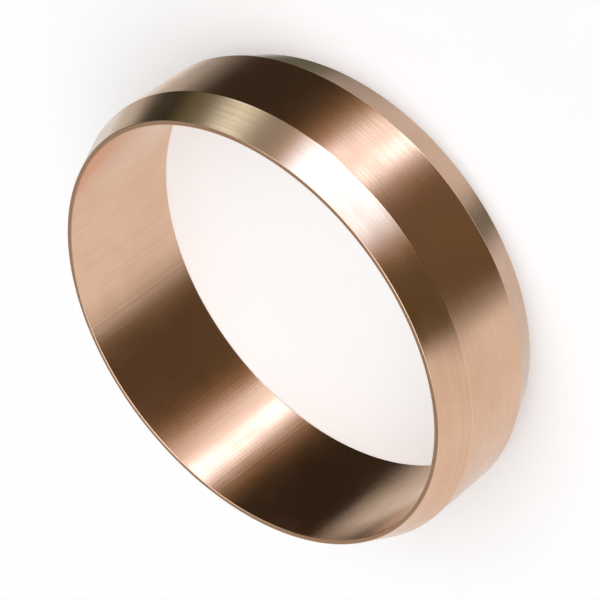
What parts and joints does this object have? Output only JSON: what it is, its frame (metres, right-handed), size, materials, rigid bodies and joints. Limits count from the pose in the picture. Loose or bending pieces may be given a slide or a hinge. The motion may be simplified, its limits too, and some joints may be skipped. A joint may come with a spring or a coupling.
{
  "type": "compression olive",
  "caption": "Plain copper ring with a smooth bore and a taper at each end, squeezed between nut and body of a compression fitting to seal on a tube.",
  "frame": {"origin": "centre of the lower end face, on the bore's axis, where the ring stands", "axes": "+Z along the bore's axis, from the lower end to the upper end"},
  "size_m": [0.0305, 0.0304, 0.0088],
  "materials": {
    "copper": "bright turned copper, smooth drawn bore"
  },
  "bodies": {
    "root": {"olive": "copper"}
  },
  "joints": []
}
